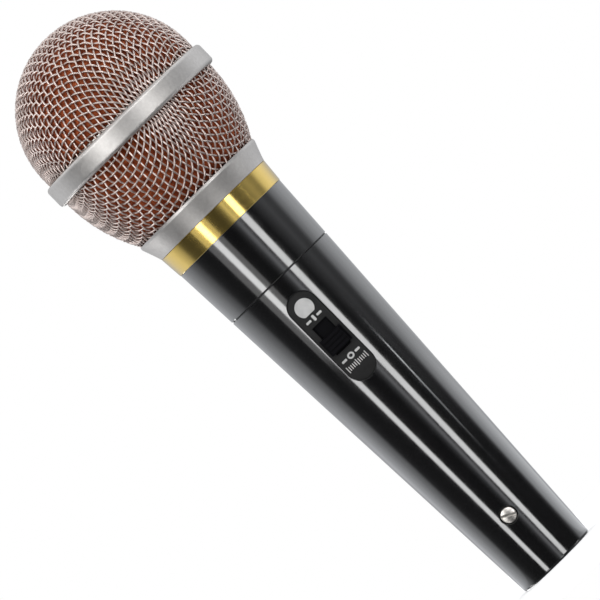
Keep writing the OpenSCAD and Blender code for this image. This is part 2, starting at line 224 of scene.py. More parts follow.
def lacquer():
    """Deep gloss black with a faint ripple and a trace of handling marks."""
    made = material("handle_lacquer", (0.0016, 0.0016, 0.0018), rough=0.13, IOR=1.75, Coat_Weight=1.0,
                    Coat_Roughness=0.07, Coat_IOR=1.6)
    vary_rough(made, noise_field(made, 260, 6), 0.11, 0.16)
    bump(made, noise_field(made, 420, 2), 0.04, 0.02 * MM)
    return made


def turned_metal(name, color, rough, groove=0.25, lines=9000, metallic=1.0):
    """A metal with fine turning lines round the microphone's axis."""
    made = material(name, color, metallic, rough)
    rings = noise_field(made, 1, 3, (40, 40, lines))
    vary_rough(made, rings, rough * 0.75, rough * 1.3)
    bump(made, rings, groove, 0.02 * MM)
    return made


def gold():
    """Plated brass, brushed round the axis, so that its highlights run up and down it."""
    made = turned_metal("gold", (0.79, 0.57, 0.15), 0.2, 0.03, 9000)
    vary_color(made, noise_field(made, 60, 2), (0.77, 0.55, 0.14), (0.81, 0.59, 0.16))
    shader = made.node_tree.nodes["Principled BSDF"]
    shader.inputs["Coat Weight"].default_value = 0.6
    shader.inputs["Coat Roughness"].default_value = 0.15
    shader.inputs["Anisotropic"].default_value = 0.85
    shader.inputs["Anisotropic Rotation"].default_value = 0.25
    around = add_node(made, "ShaderNodeTangent", direction_type="RADIAL", axis="Z")
    link(made, around.outputs["Tangent"], shader.inputs["Tangent"])
    return made


def satin_nickel():
    """Blasted and plated: fine grain and slightly uneven sheen."""
    made = material("satin_nickel", (0.64, 0.62, 0.6), 1.0, 0.44)
    vary_color(made, noise_field(made, 1400, 3), (0.61, 0.59, 0.57), (0.67, 0.65, 0.63))
    vary_rough(made, noise_field(made, 900, 3), 0.4, 0.48)
    bump(made, noise_field(made, 5200, 2), 0.3, 0.02 * MM)
    return made


def wire():
    """Plated wire: bright, a little uneven from wire to wire."""
    made = material("grille_wire", (0.68, 0.58, 0.54), 1.0, 0.36)
    vary_color(made, noise_field(made, 160, 3), (0.62, 0.525, 0.485), (0.74, 0.635, 0.595))
    vary_rough(made, noise_field(made, 900, 3), 0.3, 0.44)
    bump(made, noise_field(made, 4000, 2), 0.15, 0.02 * MM)
    return made


def foam():
    """Open-cell foam: dark pores in a red-brown matrix."""
    made = material("foam", (0.2, 0.04, 0.01), 0.0, 0.95, Specular_IOR_Level=0.15, Sheen_Weight=0.06)
    vary_color(made, noise_field(made, 500, 6), (0.155, 0.029, 0.011), (0.46, 0.112, 0.038))
    cells = add_node(made, "ShaderNodeTexVoronoi", Scale=2600.0)
    link(made, place(made), cells.inputs["Vector"])
    bump(made, cells.outputs["Distance"], 0.9, 0.12 * MM)
    return made


def moulded(name, color, rough=0.5, grain=2200, depth=0.02):
    """Moulded plastic or rubber: an even colour broken by a fine grain."""
    made = material(name, color, 0.0, rough)
    shade = noise_field(made, 300, 4)
    vary_color(made, shade, tuple(0.85 * c for c in color), tuple(1.15 * c for c in color))
    vary_rough(made, noise_field(made, 800, 3), rough * 0.88, min(1.0, rough * 1.12))
    bump(made, noise_field(made, grain, 3), 0.3, depth * MM)
    return made


def plate_black():
    """Matte screen-printed plate: fine powdery grain."""
    made = moulded("plate_black", (0.014, 0.014, 0.014), 0.6, 6000, 0.02)
    made.node_tree.nodes["Principled BSDF"].inputs["Specular IOR Level"].default_value = 0.2
    return made


def knob_plastic():
    made = moulded("knob_plastic", (0.0016, 0.0014, 0.0026), 0.5, 3000)
    made.node_tree.nodes["Principled BSDF"].inputs["Specular IOR Level"].default_value = 0.11
    return made


def felt():
    made = material("felt", (0.32, 0.31, 0.28), 0.0, 0.95, Sheen_Weight=0.5, Sheen_Roughness=0.5)
    fibre = noise_field(made, 1600, 6, (1, 3, 1))
    vary_color(made, fibre, (0.2, 0.19, 0.17), (0.42, 0.4, 0.37))
    bump(made, fibre, 0.8, 0.15 * MM)
    return made


def film():
    made = material("film", (0.72, 0.55, 0.26), 0.0, 0.12, Transmission_Weight=0.45, IOR=1.6)
    bump(made, noise_field(made, 500, 3), 0.15, 0.05 * MM)
    return made


def winding():
    """Enamelled copper wire, wound in fine turns round the axis."""
    return turned_metal("copper", (0.72, 0.3, 0.13), 0.25, 0.8, 12000)


def print_white():
    return moulded("print_white", (0.44, 0.44, 0.435), 0.55, 5000, 0.008)


MATERIALS = {
    "handle_lacquer": lacquer(),
    "gold": gold(),
    "satin_nickel": satin_nickel(),
    "grille_wire": wire(),
    "foam": foam(),
    "plate_black": plate_black(),
    "print_white": print_white(),
    "felt": felt(),
    "film": film(),
    "copper": winding(),
    "zinc": turned_metal("zinc", (0.58, 0.58, 0.56), 0.32),
    "tinned_steel": turned_metal("tinned_steel", (0.62, 0.62, 0.6), 0.3),
    "contact_brass": turned_metal("contact_brass", (0.72, 0.55, 0.25), 0.25),
    "pin_silver": turned_metal("pin_silver", (0.8, 0.79, 0.76), 0.18),
    "screw_steel": turned_metal("screw_steel", (0.72, 0.69, 0.65), 0.34),
    "capsule_metal": turned_metal("capsule_metal", (0.6, 0.59, 0.56), 0.35),
    "motor_steel": turned_metal("motor_steel", (0.48, 0.48, 0.5), 0.35),
    "magnet": turned_metal("magnet", (0.4, 0.4, 0.42), 0.2),
    "knob_plastic": knob_plastic(),
    "insert_plastic": moulded("insert_plastic", (0.018, 0.018, 0.018), 0.5),
    "cream_plastic": moulded("cream_plastic", (0.68, 0.64, 0.5), 0.5),
    "rubber": moulded("rubber", (0.022, 0.022, 0.022), 0.75, 1800, 0.04),
    "lead_red": moulded("lead_red", (0.45, 0.02, 0.02), 0.4),
    "lead_blue": moulded("lead_blue", (0.02, 0.08, 0.4), 0.4),
}

for part in frame["record"]["subparts"]:
    node_mesh = frame["nodes"][part["node"]].data
    node_mesh.materials.clear()
    node_mesh.materials.append(MATERIALS[part["material_slot"]])


# ---------------------------------------------------------------- woven wire

PITCH = 1.82 * MM
DRAWN = 0.13
WIRE_R = 0.265 * MM
WEAVE_DEPTH = 2.08 * WIRE_R
STEPS = 5
SIDES = 6
NET_YAW = math.radians(-115.0)
RUN_ON = 3 * PITCH
CUP_CORNER = 0.55


class Profile:
    """A surface of revolution, as a curve from its pole: radius and height against arc length."""

    def __init__(self, points, outward):
        self.points = np.array(points)
        steps = np.linalg.norm(np.diff(self.points, axis=0), axis=1)
        self.along = np.concatenate([[0.0], np.cumsum(steps)])
        slope = np.gradient(self.points, self.along, axis=0)
        self.normals = unit_rows(np.stack([-slope[:, 1], slope[:, 0]], 1) * outward)

    def at(self, s):
        return (np.interp(s, self.along, self.points[:, 0]), np.interp(s, self.along, self.points[:, 1]))

    def normal(self, s):
        return (np.interp(s, self.along, self.normals[:, 0]), np.interp(s, self.along, self.normals[:, 1]))

    def length(self):
        return self.along[-1]


def arc_points(centre, radius, start, end, count=160):
    """Points on an arc in the plane of radius and height, angles in radians from the +radius axis."""
    return [(centre[0] + radius * math.cos(a), centre[1] + radius * math.sin(a))
            for a in np.linspace(start, end, count)]


def dome_profile(inset):
    """From the tip, round the dome and down behind the band."""
    r = BALL_R - inset
    return Profile(arc_points((0, DOME_Z), r, math.pi / 2, 0) + [(r, SPLIT_Z - RUN_ON)], 1)


def belly_profile(inset, foot_z):
    """From the bottom of the cup that the lower grille was pressed from, up its side to the band.

    Only the part above the collar is used. The cup's floor is a shallow cap with a rounded corner.
    """
    centre_r = BALL_R - BELLY_ARC_R
    arc_r = BELLY_ARC_R - inset
    foot_angle = math.asin((foot_z - BELLY_Z) / arc_r)
    foot_r = centre_r + arc_r * math.cos(foot_angle)
    corner_r = CUP_CORNER * foot_r
    corner = (foot_r - corner_r * math.cos(foot_angle), foot_z - corner_r * math.sin(foot_angle))
    floor = [(r, corner[1] - corner_r) for r in np.linspace(0, corner[0], 60)[:-1]]
    return Profile(floor + arc_points(corner, corner_r, -math.pi / 2, foot_angle)[:-1]
                   + arc_points((centre_r, BELLY_Z), arc_r, foot_angle, 0)
                   + [(BALL_R - inset, SPLIT_Z + RUN_ON)], -1)


def solve_net(profile, pitch):
    """Crossings of a square-woven cloth pressed from the pole: each is one pitch from its neighbours.

    The pitch grows away from the pole, where pressing draws the wires out. Returns arc length and
    azimuth for each crossing of one quarter; unsolved ones are not-a-number.
    """
    reach = profile.length() / pitch
    gaps = [pitch * (1 + DRAWN * min(1.0, (k + 0.5) / reach) ** 2) for k in range(int(reach))]
    walked = np.cumsum([0.0] + gaps)
    walked = walked[walked < profile.length()]
    chord = np.diff(walked)
    count = len(walked)
    s = np.full((count, count), np.nan)
    phi = np.full((count, count), np.nan)

    def point(a, b):
        r, z = profile.at(a)
        return np.array([r * math.cos(b), r * math.sin(b), z])

    for i in range(count):
        s[i, 0] = s[0, i] = walked[i]
        phi[i, 0] = 0.0
        phi[0, i] = math.pi / 2
    tiny = pitch * 1e-4
    for i in range(1, count):
        for j in range(1, i + 1):
            if np.isnan([s[i - 1, j], s[i, j - 1]]).any():
                continue
            a = point(s[i - 1, j], phi[i - 1, j])
            b = point(s[i, j - 1], phi[i, j - 1])
            d = point(s[i - 1, j - 1], phi[i - 1, j - 1])
            guess = a + b - d
            u = s[i - 1, j] + s[i, j - 1] - s[i - 1, j - 1]
            v = math.atan2(guess[1], guess[0])
            solved = False
            for _ in range(30):
                x = point(u, v)
                gap = np.array([np.linalg.norm(x - a) - chord[i - 1], np.linalg.norm(x - b) - chord[j - 1]])
                if np.abs(gap).max() < pitch * 1e-5:
                    solved = True
                    break
                xu = (point(u + tiny, v) - x) / tiny
                xv = (point(u, v + tiny) - x) / tiny
                ea = (x - a) / np.linalg.norm(x - a)
                eb = (x - b) / np.linalg.norm(x - b)
                jacobian = np.array([[ea @ xu, ea @ xv], [eb @ xu, eb @ xv]])
                if abs(np.linalg.det(jacobian)) < ENOUGH:
                    break
                step = np.linalg.solve(jacobian, gap)
                u -= float(np.clip(step[0], -pitch, pitch))
                v -= float(np.clip(step[1], -0.2, 0.2))
            if solved and u < profile.length():
                s[i, j] = u
                phi[i, j] = v
                s[j, i] = u
                phi[j, i] = math.pi / 2 - v
    return s, phi


def net_nodes(profile, pitch):
    """The whole net's crossings and outward normals, indexed from -n to n each way, by mirroring."""
    s, phi = solve_net(profile, pitch)
    n = len(s) - 1
    index = np.abs(np.arange(-n, n + 1))
    sign = np.where(np.arange(-n, n + 1) < 0, -1.0, 1.0)
    arc = s[np.ix_(index, index)]
    turn = phi[np.ix_(index, index)]
    r, z = profile.at(np.nan_to_num(arc))
    nr, nz = profile.normal(np.nan_to_num(arc))
    x = np.cos(turn) * sign[:, None]
    y = np.sin(turn) * sign[None, :]
    cos_yaw, sin_yaw = math.cos(NET_YAW), math.sin(NET_YAW)
    ax, ay = x * cos_yaw - y * sin_yaw, x * sin_yaw + y * cos_yaw
    place_at = np.stack([r * ax, r * ay, z], -1)
    normal = np.stack([nr * ax, nr * ay, nz], -1)
    place_at[np.isnan(arc)] = np.nan
    return place_at, normal


def wire_path(points, normals, side):
    """A wavy path through a row of crossings: over one wire, under the next. side is 1 or -1 for each."""
    t = np.arange(STEPS) / STEPS
    path, ups = [], []
    last = len(points) - 1
    for k in range(last):
        a, b, c, d = (points[max(k - 1, 0)], points[k], points[k + 1], points[min(k + 2, last)])
        w = t[:, None]
        base = 0.5 * (2 * b + (c - a) * w + (2 * a - 5 * b + 4 * c - d) * w**2
                      + (3 * b - a - 3 * c + d) * w**3)
        up = unit_rows(normals[k] * (1 - w) + normals[k + 1] * w)
        lift = side[k] * 0.5 * WEAVE_DEPTH * np.cos(math.pi * t)
        path.append(base + up * lift[:, None])
        ups.append(up)
    return np.concatenate(path), np.concatenate(ups)


def split_runs(path, ups, keep):
    """The stretches of a path that keep says to keep, each at least three points long."""
    runs, start = [], None
    for k, inside in enumerate(list(keep) + [False]):
        if inside and start is None:
            start = k
        if not inside and start is not None:
            if k - start >= 3:
                runs.append((path[start:k], ups[start:k]))
            start = None
    return runs


def tube_mesh(runs, radius, sides):
    """Vertices and faces of round tubes along the runs, closed at both ends."""
    verts, faces, base = [], [], 0
    angle = 2 * math.pi * np.arange(sides) / sides
    for path, ups in runs:
        tangent = unit_rows(np.gradient(path, axis=0))
        u = unit_rows(ups - tangent * (ups * tangent).sum(1, keepdims=True))
        v = np.cross(tangent, u)
        ring = (path[:, None, :] + radius * (np.cos(angle)[None, :, None] * u[:, None, :]
                                             + np.sin(angle)[None, :, None] * v[:, None, :]))
        count = len(path)
        verts.append(ring.reshape(-1, 3))
        for k in range(count - 1):
            a = base + k * sides
            for m in range(sides):
                n = (m + 1) % sides
                faces.append((a + m, a + n, a + sides + n, a + sides + m))
        faces.append(tuple(base + m for m in reversed(range(sides))))
        faces.append(tuple(base + (count - 1) * sides + m for m in range(sides)))
        base += count * sides
    return np.concatenate(verts), faces


def weave(name, profile, low_z, high_z, node):
    """Both sets of wires of a grille, kept between two heights. The first set stands for the CAD shell."""
    points, normals = net_nodes(profile, PITCH)
    n = (len(points) - 1) // 2
    for family, label in enumerate(("warp", "weft")):
        runs = []
        for row in range(2 * n + 1):
            line = points[:, row] if family == 0 else points[row, :]
            up = normals[:, row] if family == 0 else normals[row, :]
            good = ~np.isnan(line[:, 0])
            first, last = np.argmax(good), len(good) - np.argmax(good[::-1])
            if last - first < 3 or not good[first:last].all():
                continue
            parity = (np.arange(first, last) + row + family) % 2
            path, ups = wire_path(line[first:last], up[first:last], np.where(parity == 0, 1.0, -1.0))
            runs += split_runs(path, ups, (path[:, 2] > low_z) & (path[:, 2] < high_z))
        verts, faces = tube_mesh(runs, WIRE_R, SIDES)
        stands_for = (node,) if family == 0 else ()
        new_mesh(f"{name}_{label}", verts, faces, "head", "grille_wire", stands_for, crease=0)


MESH_INSET = 0.5 * MM
weave("dome_wire", dome_profile(MESH_INSET), SPLIT_Z + 0.3 * MM, dome_high.z, "grille_mesh_upper")
weave("belly_wire", belly_profile(MESH_INSET, collar_high.z), belly_low.z + 0.3 * MM, belly_high.z - 0.2 * MM,
      "grille_mesh_lower")


# ---------------------------------------------------------------- lacquered shells

EDGE_ROUND = 0.22 * MM
PLATE_ROUND = 0.15 * MM
SEAM_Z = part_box("handle_barrel")[1].z
CLOSE = 0.008 * MM
WIDEST_STEP = math.radians(2.5)
END_ROUND = 0.75 * MM
END_TOP = 0.72 * MM
END_MIDDLE = cone_r(END_ROUND) - END_ROUND * math.hypot(1, CONE_SLOPE)
SMOOTH_COS = math.cos(math.radians(30))


def is_on_cone(vert):
    return abs(math.hypot(vert.co.x, vert.co.y) - cone_r(vert.co.z)) < CLOSE


def azimuth_span(edge):
    a, b = edge.verts[0].co, edge.verts[1].co
    turn = math.atan2(a.y, a.x) - math.atan2(b.y, b.x)
    return abs(math.remainder(turn, 2 * math.pi))


def polished_shell(node):
    """A copy of a handle shell with true cone normals, for clean reflections, and rounded cut edges."""
    bm = bmesh.new()
    bm.from_mesh(frame["nodes"][node].data)
    bmesh.ops.remove_doubles(bm, verts=bm.verts, dist=0.5 * CLOSE)
    kind = bm.faces.layers.int.new("kind")
    for face in bm.faces:
        face[kind] = 3 if is_end_round(face) else int(all(is_on_cone(v) for v in face.verts))
    cut = [e for e in bm.edges if len(e.link_faces) == 2 and e.link_faces[0][kind] != e.link_faces[1][kind]
           and is_cut_edge(e)]
    if cut:
        made = bmesh.ops.bevel(bm, geom=cut, offset=EDGE_ROUND, segments=3, profile=0.5, affect="EDGES")
        for face in made["faces"]:
            face[kind] = 2
    bmesh.ops.triangulate(bm, faces=[f for f in bm.faces if f[kind] == 1])
    for _ in range(4):
        wide = [e for e in bm.edges if azimuth_span(e) > WIDEST_STEP
                and all(f[kind] in (1, 3) for f in e.link_faces)]
        if not wide:
            break
        bmesh.ops.subdivide_edges(bm, edges=wide, cuts=1)
        bmesh.ops.triangulate(bm, faces=[f for f in bm.faces if f[kind] in (1, 3)])
    for vert in bm.verts:
        if vert.link_faces and all(f[kind] in (1, 3) for f in vert.link_faces):
            scale = outside_r(vert.co.z) / math.hypot(vert.co.x, vert.co.y)
            vert.co.x *= scale
            vert.co.y *= scale
    bm.normal_update()
    # The seam groove's floor becomes its own matte dark piece. It is partly unlacquered there, and partly
    # painted shade that keeps the seam dark where the lacquer would reflect.
    groove_shade_faces = [f for f in bm.faces if is_shaded_groove_floor(f)]
    if groove_shade_faces:
        spots = {v: k for k, v in enumerate(dict.fromkeys(v for f in groove_shade_faces for v in f.verts))}
        faces = [tuple(spots[v] for v in f.verts) for f in groove_shade_faces]
        new_mesh(node + "_shoulder", [v.co.copy() for v in spots], faces, "handle", "insert_plastic")
        bmesh.ops.delete(bm, geom=groove_shade_faces, context="FACES_ONLY")
    normals = []
    for face in bm.faces:
        face.smooth = True
        for loop in face.loops:
            normals.append(corner_normal(face, loop.vert, kind))
    mesh = bpy.data.meshes.new(node + "_shell")
    bm.to_mesh(mesh)
    bm.free()
    mesh.normals_split_custom_set(normals)
    add_piece(node + "_shell", mesh, "handle", "handle_lacquer", (node,))


def is_end_round(face):
    """True on the rounding between the handle's cone and its end."""
    middle = face.calc_center_median()
    outer = math.hypot(middle.x, middle.y) > END_MIDDLE + 0.1 * MM
    return outer and middle.z < END_TOP and face.normal.z > -0.97


def outside_r(z):
    """Radius of the outside at height z, with the rounding of the end."""
    if z > END_TOP:
        return cone_r(z)
    return END_MIDDLE + math.sqrt(max(0.0, END_ROUND ** 2 - (END_ROUND - z) ** 2))


def is_shaded_groove_floor(face):
    """True for the floor of the seam's groove, which lies a little under the cone. It gets matte dark
    plastic: partly the unlacquered spigot, partly painted shade that darkens the seam.
    """
    middle = face.calc_center_median()
    depth = cone_r(middle.z) - math.hypot(middle.x, middle.y)
    return 0.15 * MM < depth < 0.45 * MM and abs(middle.z - SEAM_Z) < 0.4 * MM and abs(face.normal.z) < 0.3


def is_cut_edge(edge):
    """True on the rims of the switch's pocket and of the screw's hole."""
    middle = (edge.verts[0].co + edge.verts[1].co) / 2
    within = abs(middle.x) < plate_high.x + MM and middle.y < 0
    return within and (plate_low.z - MM < middle.z < plate_high.z + MM or 10 * MM < middle.z < 25 * MM)


def corner_normal(face, vert, kind):
    """The cone's normal on the outside; elsewhere the mean of the faces that meet smoothly."""
    near = vert.link_faces
    if face[kind] == 3:
        out = Vector((vert.co.x, vert.co.y, 0)).normalized()
        height = min(0.0, vert.co.z - END_ROUND)
        return out * math.sqrt(END_ROUND ** 2 - height ** 2) + Vector((0, 0, height))
    if face[kind] == 1 or (face[kind] == 2 and any(f[kind] == 1 for f in near)):
        return cone_normal(vert.co.x, vert.co.y)
    total = Vector()
    for other in near:
        if other[kind] == face[kind] and other.normal.dot(face.normal) > SMOOTH_COS:
            total += turned_normal(other, vert) * other.calc_area()
    return total.normalized() if total.length > 0 else face.normal


def turned_normal(face, vert):
    """A face's normal, brought round the axis to the vertex where the face is part of a turned surface."""
    middle = face.calc_center_median()
    out = Vector((middle.x, middle.y, 0)).normalized()
    if abs(face.normal.dot(Vector((-out.y, out.x, 0)))) > 0.03:
        return face.normal
    here = Vector((vert.co.x, vert.co.y, 0)).normalized()
    return here * face.normal.dot(out) + Vector((0, 0, face.normal.z))


def make_plate():
    """The switch plate with the edges of its front face rounded."""
    bm = bmesh.new()
    bm.from_mesh(frame["nodes"]["switch_plate"].data)
    bmesh.ops.remove_doubles(bm, verts=bm.verts, dist=0.5 * CLOSE)
    bmesh.ops.dissolve_limit(bm, angle_limit=math.radians(1), verts=bm.verts, edges=bm.edges)
    level = max(v.co.dot(plate_out) for v in bm.verts)
    rim = [e for e in bm.edges if all(v.co.dot(plate_out) > level - CLOSE for v in e.verts)
           and e.calc_face_angle(0) > 1]
    bmesh.ops.bevel(bm, geom=rim, offset=PLATE_ROUND, segments=3, profile=0.5, affect="EDGES")
    bm.verts.index_update()
    verts = [v.co.copy() for v in bm.verts]
    faces = [tuple(v.index for v in face.verts) for face in bm.faces]
    bm.free()
    new_mesh("plate_rounded", verts, faces, "handle", "plate_black", ("switch_plate",), crease=40)


polished_shell("handle_barrel")
polished_shell("front_sleeve")
make_plate()


# ---------------------------------------------------------------- threaded neck

THREAD_PITCH = 1.0 * MM
THREAD_DEPTH = 0.45 * MM


def make_neck():
    """The neck with a real thread above the handle, faded out at both ends."""
    neck_points = [v.co for v in frame["nodes"]["neck"].data.vertices]
    bore = min(math.hypot(v.x, v.y) for v in neck_points)
    outer = neck_high.x
    lower = max(math.hypot(v.x, v.y) for v in neck_points if v.z < sleeve_high.z - 0.1 * MM)
    start = sleeve_high.z
    outline = (steps((bore, neck_low.z), (lower, neck_low.z), 2)
               + steps((lower, neck_low.z), (lower, start), 3)
               + steps((lower, start), (outer, start), 2)
               + steps((outer, start), (outer, neck_high.z), 120)
               + steps((outer, neck_high.z), (bore, neck_high.z), 3)
               + steps((bore, neck_high.z), (bore, neck_low.z), 4))
    verts, faces = revolve(outline, 144)
    low, high = start + 1.2 * THREAD_PITCH, neck_high.z - 0.3 * MM
    for vert in verts:
        r = math.hypot(vert[0], vert[1])
        if abs(r - outer) > CLOSE or vert[2] < low:
            continue
        turn = (vert[2] / THREAD_PITCH - math.atan2(vert[1], vert[0]) / (2 * math.pi)) % 1.0
        depth = THREAD_DEPTH * (1 - min(1.0, 2.6 * abs(turn - 0.5)))
        fade = min(1.0, (vert[2] - low) / THREAD_PITCH, max(0.0, high - vert[2]) / (0.5 * THREAD_PITCH) + 0.6)
        vert[:2] *= (r - depth * max(0.0, fade)) / r
    new_mesh("neck_thread", verts, faces, "handle", "zinc", ("neck",), crease=40)


make_neck()


# ---------------------------------------------------------------- foam liners

PORE = 0.85 * MM
PORE_DEPTH = 0.32 * MM


def pore_dent(point):
    """How deep the nearest pore is at a point, from 0 to PORE_DEPTH."""
    near = noise.voronoi(Vector(point) / PORE)[0]
    open_share = max(0.0, 1 - near[0] / 0.52)
    grain = 0.25 * (1 + noise.noise(Vector(point) / (0.35 * MM)))
    return PORE_DEPTH * min(1.0, open_share ** 0.7 + 0.3 * grain)


def foam_piece(name, outline, columns, body, node):
    """An open-cell foam shell: its outline turned round the axis and dented by pores."""
    verts, faces = revolve(outline, columns)
    rows = len(outline)
    grid = verts.reshape(rows, columns, 3)
    before, after = np.roll(grid, 1, 0), np.roll(grid, -1, 0)
    along = (after - before).reshape(-1, 3)
    around = np.stack([-verts[:, 1], verts[:, 0], np.zeros(len(verts))], 1)
    inward = unit_rows(np.cross(along, unit_rows(around)))
    dent = np.array([pore_dent(v) for v in verts])
    piece = new_mesh(name, verts + inward * dent[:, None], faces, body, "foam", (node,), crease=0)


def make_foam():
    """The dome's liner, with a step where the inner ring is, and the liner of the lower grille."""
    low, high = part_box("foam_liner_upper")
    points = [(math.hypot(v.co.x, v.co.y), v.co.z) for v in frame["nodes"]["foam_liner_upper"].data.vertices]
    outer = high.x
    inner_top = min(z for r, z in points if r < MM)
    inner = inner_top - DOME_Z
    step_r = max(r for r, z in points if z < low.z + CLOSE)
    step_z = min(z for r, z in points if r > outer - CLOSE)
    pole = 0.3 * MM
    dome = [(max(pole, outer * math.cos(a)), DOME_Z + outer * math.sin(a))
            for a in np.linspace(0, math.pi / 2, 100)]
    bowl = [(max(pole, inner * math.cos(a)), DOME_Z + inner * math.sin(a))
            for a in np.linspace(math.pi / 2, 0, 30)]
    outline = (steps((step_r, low.z), (step_r, step_z), 10) + steps((step_r, step_z), (outer, step_z), 2)
               + steps((outer, step_z), (outer, DOME_Z), 5) + dome + bowl
               + steps((inner, DOME_Z), (inner, low.z), 8)[1:] + steps((inner, low.z), (step_r, low.z), 6))
    foam_piece("dome_foam", outline, 420, "head", "foam_liner_upper")

    low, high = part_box("foam_liner_lower")
    side_inset = BALL_R - high.x
    points = [(math.hypot(v.co.x, v.co.y), v.co.z) for v in frame["nodes"]["foam_liner_lower"].data.vertices]
    wall = high.x - max(r for r, z in points if z > high.z - CLOSE and r < high.x - MM)

    def side(inset, start, end, count):
        heights = np.linspace(start, end, count)
        arc_r = BELLY_ARC_R - inset
        return [(BALL_R - BELLY_ARC_R + math.sqrt(arc_r**2 - min(0.0, z - BELLY_Z) ** 2), z) for z in heights]

    outside = side(side_inset, low.z, high.z, 78)
    inside = side(side_inset + wall, high.z, low.z, 24)
    outline = (outside[:-1] + steps(outside[-1], inside[0], 6)
               + inside[:-1] + steps(inside[-1], outside[0], 6))
    foam_piece("belly_foam", outline, 400, "head_lining", "foam_liner_lower")


make_foam()


# ---------------------------------------------------------------- marks on the switch plate

INK = 0.03 * MM
PLATE_T = 1.0 * MM
plate_face = (plate_low + plate_high) / 2 + plate_out * PLATE_T / 2


def on_plate(x, y, z=0.0):
    """A point of the plate's face: x across and y up from its middle, z out of it."""
    return plate_face + Vector((x, 0, 0)) + plate_up * y + plate_out * z


def ink(name, outlines):
    """Printed shapes. Each outline is a closed list of x, y points; a pair of outlines is a ring."""
    verts, faces = [], []
    for shape in outlines:
        loops = shape if isinstance(shape, tuple) else (shape,)
        count, base = len(loops[0]), len(verts)
        for loop in loops:
            for height in (-0.2 * INK, INK):
                verts += [on_plate(x, y, height) for x, y in loop]
        for k in range(count):
            n = (k + 1) % count
            faces.append((base + k, base + n, base + count + n, base + count + k))
            if len(loops) == 2:
                hole, top = base + 2 * count, base + 3 * count
                faces.append((hole + n, hole + k, top + k, top + n))
                faces.append((base + count + k, base + count + n, top + n, top + k))
                faces.append((base + n, base + k, hole + k, hole + n))
        if len(loops) == 1:
            faces.append(tuple(base + count + k for k in range(count)))
            faces.append(tuple(base + k for k in reversed(range(count))))
    new_mesh(name, verts, faces, "handle", "print_white", crease=30)


def round_box(x, y, w, h, radius=0.15 * MM, count=5):
    """A rectangle with round corners, centred at x, y."""
    points = []
    for k, (sx, sy) in enumerate(((1, 1), (-1, 1), (-1, -1), (1, -1))):
        middle_x, middle_y = x + sx * (w / 2 - radius), y + sy * (h / 2 - radius)
        for a in np.linspace(k * math.pi / 2, (k + 1) * math.pi / 2, count):
            points.append((middle_x + radius * math.cos(a), middle_y + radius * math.sin(a)))
    return points


def circle(x, y, rx, ry, count=48):
    """A circle, or an oval, round x, y."""
    angles = np.linspace(0, 2 * math.pi, count, endpoint=False)
    return [(x + rx * math.cos(a), y + ry * math.sin(a)) for a in angles]


DOT_R = 2.5 * MM
DOT_FLAT = 2.0 * MM
DOT_Y, ON_Y, OFF_Y, SCALE_Y = 9.6 * MM, 6.25 * MM, -6.85 * MM, -9.15 * MM
DASH_W, DASH_H = 1.5 * MM, 0.6 * MM
TICK_GAP, TICK_W = 0.62 * MM, 0.24 * MM


def tick(k):
    """One stroke of the scale, longer in the middle and at both ends."""
    length = 1.8 * MM if k % 5 == 0 else 1.25 * MM
    return round_box((k - 5) * TICK_GAP, SCALE_Y, TICK_W, length, 0.08 * MM)


def dashes(y, apart):
    """A pair of dashes, one on each side."""
    return [round_box(-apart, y, DASH_W, DASH_H), round_box(apart, y, DASH_W, DASH_H)]


ink("mark_dot", [[(x, max(y, DOT_Y - DOT_FLAT)) for x, y in circle(0, DOT_Y, DOT_R, DOT_R, 72)]])
ink("mark_on", [round_box(0, ON_Y, 0.7 * MM, 1.6 * MM)] + dashes(ON_Y, 1.75 * MM))
ink("mark_off", [(circle(0, OFF_Y, 0.95 * MM, 0.85 * MM), circle(0, OFF_Y, 0.5 * MM, 0.42 * MM))]
    + dashes(OFF_Y, 2.2 * MM))
ink("mark_scale", [tick(k) for k in range(11)])


# ---------------------------------------------------------------- lock screw

SCREW_SLOT_W = 0.62 * MM
SCREW_SLOT_DEPTH = 0.55 * MM
SCREW_DOME = 0.42 * MM
SCREW_TURN = math.radians(62)


def make_screw():
    """A low domed head with a cut slot, on its shank."""
    low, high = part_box("insert_lock_screw")
    head_r = high.x
    centre_z = (low.z + high.z) / 2
    face_y = low.y
    shank_r = 1.2 * MM
    verts, faces = [], []
    rows, columns = 40, 144

    def height(x, y):
        r = math.hypot(x, y)
        dome = -SCREW_DOME * (r / head_r) ** 2 - 0.12 * MM * max(0.0, (r / head_r - 0.9) / 0.1) ** 2
        across = abs(x * math.cos(SCREW_TURN) + y * math.sin(SCREW_TURN))
        open_share = min(1.0, max(0.0, (SCREW_SLOT_W / 2 + 0.03 * MM - across) / (0.06 * MM)))
        return SCREW_DOME + dome - open_share * (SCREW_SLOT_DEPTH + dome)

    for i in range(rows + 1):
        r = head_r * (i + 0.02) / (rows + 0.02)
        for k in range(columns):
            a = 2 * math.pi * k / columns
            x, y = r * math.cos(a), r * math.sin(a)
            verts.append((x, face_y - height(x, y), centre_z + y))
    back = high.y - face_y
    for r, depth in ((head_r, 0.9 * MM), (shank_r, 0.9 * MM), (shank_r, back)):
        for k in range(columns):
            a = 2 * math.pi * k / columns
            verts.append((r * math.cos(a), face_y + depth, centre_z + r * math.sin(a)))
    for i in range(rows + 3):
        a = i * columns
        faces += [(a + k, a + columns + k, a + columns + (k + 1) % columns, a + (k + 1) % columns)
                  for k in range(columns)]
    faces.append(tuple(range(columns)))
    faces.append(tuple((rows + 3) * columns + k for k in reversed(range(columns))))
    new_mesh("screw_slotted", verts, faces, "handle", "screw_steel", ("insert_lock_screw",))


make_screw()


# ---------------------------------------------------------------- floor, lights, camera

CAMERA_AZIMUTH = math.radians(3.0)
CAMERA_DISTANCE = 2.19
CAMERA_ROLL = math.radians(44.44)
AIM_SIDE = -0.17 * MM
AIM_HEIGHT = 91.8 * MM

